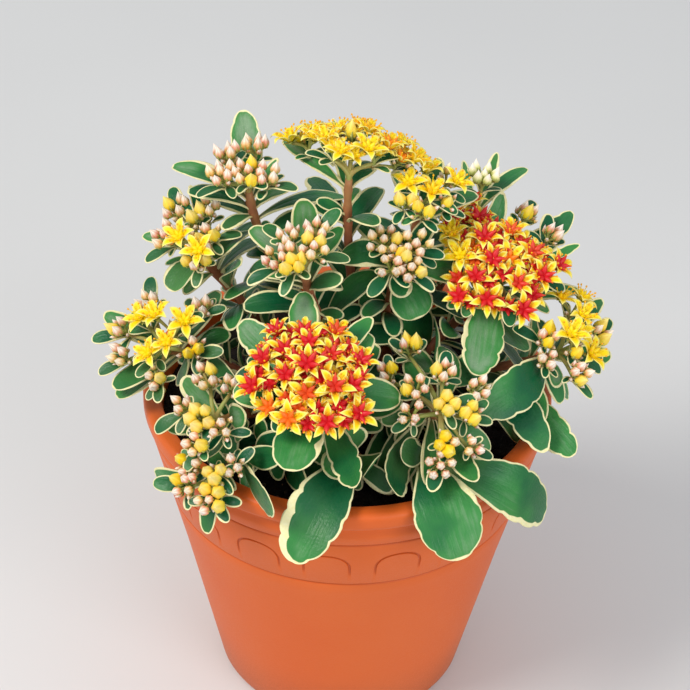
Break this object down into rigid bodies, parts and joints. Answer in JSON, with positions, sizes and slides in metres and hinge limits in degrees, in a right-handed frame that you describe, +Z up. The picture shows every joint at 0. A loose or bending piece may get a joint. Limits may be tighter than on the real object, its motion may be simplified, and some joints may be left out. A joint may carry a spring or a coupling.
{
  "type": "potted sedum plant",
  "caption": "Bushy succulent with cream-edged spoon-shaped leaves and heads of yellow star flowers and buds, in a round plastic pot with an arched border.",
  "frame": {"origin": "centre of the pot's flat underside, at the ground", "axes": "+Z up along the pot's axis; -Y towards the side the picture was taken from; +X to its right"},
  "size_m": [0.1723, 0.1515, 0.2107],
  "materials": {
    "terracotta_plastic": "moulded terracotta-coloured plastic with a soft sheen",
    "compost": null,
    "leaf_and_stem": null,
    "open_flowers": null,
    "flower_buds": null
  },
  "bodies": {
    "root": {"pot": "terracotta_plastic", "soil": "compost", "leafy_stem_back_left": "leaf_and_stem", "leafy_stem_left_high": "leaf_and_stem", "leafy_stem_left_low": "leaf_and_stem", "leafy_stem_front_left": "leaf_and_stem", "leafy_stem_front_low_left": "leaf_and_stem", "leafy_stem_front_bloom": "leaf_and_stem", "leafy_stem_centre_left": "leaf_and_stem", "leafy_stem_back_centre": "leaf_and_stem", "leafy_stem_back_right": "leaf_and_stem", "leafy_stem_centre_right": "leaf_and_stem", "leafy_stem_far_right": "leaf_and_stem", "leafy_stem_right_bloom": "leaf_and_stem", "leafy_stem_front_right": "leaf_and_stem", "leafy_stem_right_low": "leaf_and_stem", "leafy_stem_front_tuft_left": "leaf_and_stem", "leafy_stem_front_tuft_right": "leaf_and_stem", "head_back_left": "flower_buds", "head_left_high": "flower_buds", "head_left_low": "open_flowers", "head_front_left": "flower_buds", "head_front_low_left": "flower_buds", "head_front_bloom": "open_flowers", "head_centre_left": "flower_buds", "head_back_centre": "open_flowers", "head_back_right": "open_flowers", "head_centre_right": "flower_buds", "head_far_right": "flower_buds", "head_right_bloom": "open_flowers", "head_front_right": "flower_buds", "head_right_low": "open_flowers"}
  },
  "joints": []
}
